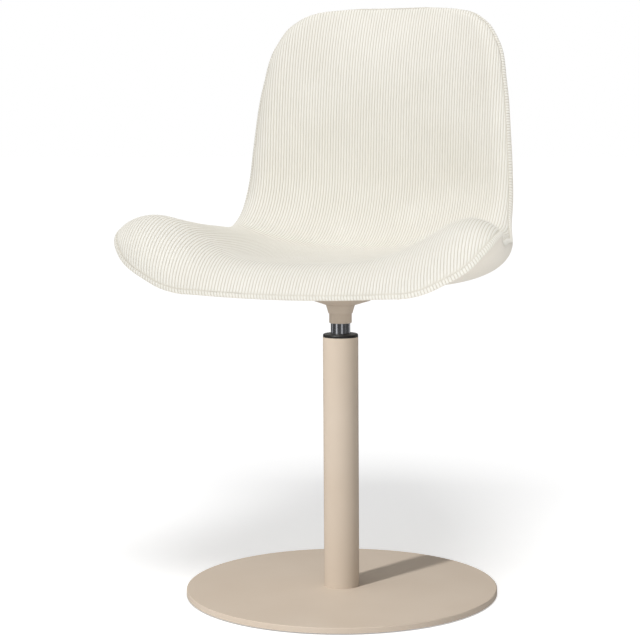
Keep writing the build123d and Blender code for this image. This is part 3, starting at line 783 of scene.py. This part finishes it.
# ---- floor, light and camera -------------------------------------------------------------
AZIMUTH, YAW, PITCH, ROLL = (math.radians(a) for a in (17.0, -0.656, 6.27, -0.35))
CAMERA_DISTANCE, CAMERA_HEIGHT = 2.561, 0.679
LENS, SENSOR = 101.25, 36.0   # millimetres
FLOOR_SIZE = 60
FLOOR_BASE = 0.93         # the floor's own white
FLOOR_WHITE = 1.06        # what the camera sees of the floor further away
FLOOR_LIFT = 0.34         # what is added near the chair to the floor's own light and shadow
FLOOR_NEAR, FLOOR_FAR = 0.75, 1.5
SKY = 0.46                # the studio's even light
SKY_LEAN = 0.75           # how much brighter it is on the side of the lamps
LAMP_SIDE = (-0.67, -0.74, 0.0)   # direction to that side, as the camera sees it
# Soft boxes as polished metal sees them: degrees left of the camera, half width, brightness
SOFT_BOXES = [
    (-178, 9, 0.5), (-128, 8, 0.75), (-62, 6, 0.2), (-17, 8, 0.75), (47, 8, 0.95), (112, 9, 0.6),
]
BOX_FULL, BOX_END = 0.7, 1.35   # where a box starts to dim and where it ends, in half widths
STUDIO_DARK = 0.1
# Lamps: name, place as the camera sees it, height on the column's axis aimed at, size, power
FLOOR_LAMP = ("floor_lamp", (0.0, -1.7, 3.0), 0.0, 1.3, 70)
COVER_LAMPS = [
    ("cover_top", (0.0, 0.5, 4.5), 0.5, 2.2, 68),
    ("cover_front", (-0.3, -5.8, 1.9), 0.65, 2.4, 108),
    ("cover_side", (3.0, -2.0, 0.1), 0.55, 1.4, 32),
]
STAND_LAMP = ("side", (-2.0, -2.2, 3.5), 0.2, 0.22, 146)


def from_view(right, forward, up):
    """Point given to the right of, ahead of and above the chair as the camera sees it."""
    c, s = math.cos(AZIMUTH), math.sin(AZIMUTH)
    return Vector((c * right - s * forward, s * right + c * forward, up))


def add_seen(tree, rays):
    """1 for rays that show the background: from the camera, or by way of metal or glass."""
    seen = add_math(tree, "MAXIMUM", rays.outputs["Is Camera Ray"], rays.outputs["Is Transmission Ray"])
    return add_math(tree, "MAXIMUM", seen, rays.outputs["Is Glossy Ray"])


def add_away(tree):
    """From 0 on the floor near the chair to 1 further away."""
    coordinates = tree.nodes.new("ShaderNodeTexCoord")
    length = tree.nodes.new("ShaderNodeVectorMath")
    length.operation = "LENGTH"
    tree.links.new(coordinates.outputs["Object"], length.inputs[0])
    away = tree.nodes.new("ShaderNodeMapRange")
    away.interpolation_type = "SMOOTHSTEP"
    set_inputs(away, From_Min=FLOOR_NEAR, From_Max=FLOOR_FAR)
    tree.links.new(length.outputs["Value"], away.inputs["Value"])
    return away.outputs["Result"]


def floor_material():
    """Matt white, lifted near the chair, that gives way to an even white further away."""
    material, tree, shader = new_material("stage_floor")
    set_inputs(shader, Base_Color=(*grey(FLOOR_BASE), 1), Roughness=1.0, Specular_IOR_Level=0.0)
    seen = add_seen(tree, tree.nodes.new("ShaderNodeLightPath"))
    share = add_math(tree, "MULTIPLY", add_away(tree), seen)
    lift = tree.nodes.new("ShaderNodeEmission")
    tree.links.new(add_math(tree, "MULTIPLY", seen, FLOOR_LIFT), lift.inputs["Strength"])
    near = tree.nodes.new("ShaderNodeAddShader")
    tree.links.new(shader.outputs[0], near.inputs[0])
    tree.links.new(lift.outputs[0], near.inputs[1])
    white = tree.nodes.new("ShaderNodeEmission")
    set_inputs(white, Strength=FLOOR_WHITE)
    mix = tree.nodes.new("ShaderNodeMixShader")
    tree.links.new(share, mix.inputs[0])
    tree.links.new(near.outputs[0], mix.inputs[1])
    tree.links.new(white.outputs[0], mix.inputs[2])
    tree.links.new(mix.outputs[0], tree.nodes["Material Output"].inputs["Surface"])
    return material


def add_floor():
    """Plain white floor that keeps the chair's shadow and doesn't show in polished metal."""
    bpy.ops.mesh.primitive_plane_add(size=FLOOR_SIZE)
    floor = bpy.context.object
    floor.name = "stage_floor"
    floor.visible_glossy = False
    paint([floor], floor_material())
    return floor


def soft_box_stops():
    """The dark studio's soft boxes over the headings of a full turn, as stops of a ramp."""
    stops = [(0.0, grey(STUDIO_DARK))]
    camera_heading = math.degrees(AZIMUTH) - 90
    for to_left, half, level in SOFT_BOXES:
        middle = ((camera_heading - to_left) / 360 + 0.5) % 1.0
        for side in (-1, 1):
            stops.append((middle + side * BOX_END * (half / 360), grey(STUDIO_DARK)))
            stops.append((middle + side * BOX_FULL * (half / 360), grey(level)))
    return sorted(stops)


def add_world():
    """White studio: white to the camera, soft boxes on dark in polished metal, even light elsewhere."""
    world = bpy.data.worlds.new("studio")
    bpy.context.scene.world = world
    world.use_nodes = True
    tree = world.node_tree
    rays = tree.nodes.new("ShaderNodeLightPath")
    direction = tree.nodes.new("ShaderNodeTexCoord")
    axes = tree.nodes.new("ShaderNodeSeparateXYZ")
    tree.links.new(direction.outputs["Generated"], axes.inputs[0])
    heading = add_math(tree, "ARCTAN2", axes.outputs["Y"], axes.outputs["X"])
    turn = add_math(tree, "ADD", add_math(tree, "DIVIDE", heading, math.tau), 0.5)
    boxes = add_ramp(tree, turn, soft_box_stops())
    lean = tree.nodes.new("ShaderNodeVectorMath")
    lean.operation = "DOT_PRODUCT"
    tree.links.new(direction.outputs["Generated"], lean.inputs[0])
    lean.inputs[1].default_value = from_view(*LAMP_SIDE) * SKY_LEAN
    level = add_math(tree, "ADD", lean.outputs["Value"], 1.0)
    level = add_math(tree, "MULTIPLY", level, SKY)
    white = add_mix(tree, WHITE, boxes, rays.outputs["Is Glossy Ray"])
    colour = add_mix(tree, level, white, add_seen(tree, rays))
    tree.links.new(colour, tree.nodes["Background"].inputs["Color"])


def add_lamp(name, place_at, aim_height, size, power, lit, shaded_by_all=True):
    """Square studio lamp that lights some objects only, shaded by all objects or by those only."""
    data = bpy.data.lights.new(name, "AREA")
    data.size = size
    data.energy = power
    lamp = bpy.data.objects.new(name, data)
    lamp.location = from_view(*place_at)
    lamp.rotation_mode = "QUATERNION"
    lamp.rotation_quaternion = (Vector((0, 0, aim_height)) - lamp.location).to_track_quat("-Z", "Y")
    bpy.context.scene.collection.objects.link(lamp)
    reach = bpy.data.collections.new(name + "_reach")
    for obj in lit:
        reach.objects.link(obj)
    lamp.light_linking.receiver_collection = reach
    if not shaded_by_all:
        lamp.light_linking.blocker_collection = reach


def add_camera():
    """Camera at the photo's viewpoint."""
    data = bpy.data.cameras.new("camera")
    data.lens = LENS
    data.sensor_width = SENSOR
    camera = bpy.data.objects.new("camera", data)
    bpy.context.scene.collection.objects.link(camera)
    bpy.context.scene.camera = camera
    ahead = from_view(
        math.sin(YAW) * math.cos(PITCH), math.cos(YAW) * math.cos(PITCH), -math.sin(PITCH)
    )
    side = from_view(math.cos(YAW), -math.sin(YAW), 0)
    above = side.cross(ahead)
    right = side * math.cos(ROLL) + above * math.sin(ROLL)
    up = above * math.cos(ROLL) - side * math.sin(ROLL)
    turn = Matrix((right, up, -ahead)).transposed().to_4x4()
    camera.matrix_world = Matrix.Translation(from_view(0, -CAMERA_DISTANCE, CAMERA_HEIGHT)) @ turn


add_camera()
studio_floor = add_floor()
add_world()
add_lamp(*FLOOR_LAMP, [studio_floor])
for cover_lamp in COVER_LAMPS:
    add_lamp(*cover_lamp, ribbed_covers + plain_covers)
add_lamp(*STAND_LAMP, stand, shaded_by_all=False)

bpy.context.scene.view_settings.view_transform = "Standard"
